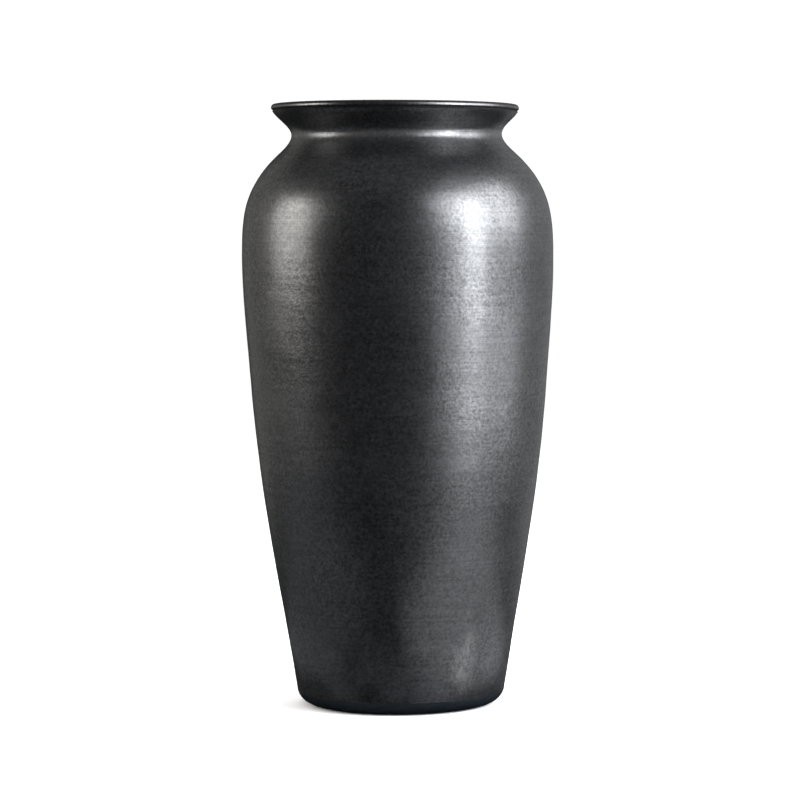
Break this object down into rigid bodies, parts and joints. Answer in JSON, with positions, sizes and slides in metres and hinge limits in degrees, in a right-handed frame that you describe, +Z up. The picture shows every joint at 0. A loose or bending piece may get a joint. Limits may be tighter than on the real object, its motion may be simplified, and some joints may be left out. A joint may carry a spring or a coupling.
{
  "type": "black clay jar",
  "caption": "Tall shouldered jar of burnished black earthenware with a narrow neck, flared rim, rolled lip and a rounded foot band, open at the top.",
  "frame": {"origin": "on the ground, at the middle of the ring that the jar stands on", "axes": "+Z up along the jar's axis, from the foot to the mouth; X and Y are any two level directions, because every piece is a ring about +Z"},
  "size_m": [0.2072, 0.2072, 0.4],
  "materials": {
    "burnished_black": "satin",
    "wiped_foot": "matte",
    "raw_inside": "matte"
  },
  "bodies": {
    "root": {"foot_disc": "wiped_foot", "corner_coil": "raw_inside", "lower_wall": "burnished_black", "middle_wall": "burnished_black", "upper_wall": "burnished_black", "belly": "burnished_black", "lower_shoulder": "burnished_black", "upper_shoulder": "burnished_black", "neck": "burnished_black", "flared_rim": "burnished_black", "rolled_lip": "burnished_black"}
  },
  "joints": []
}
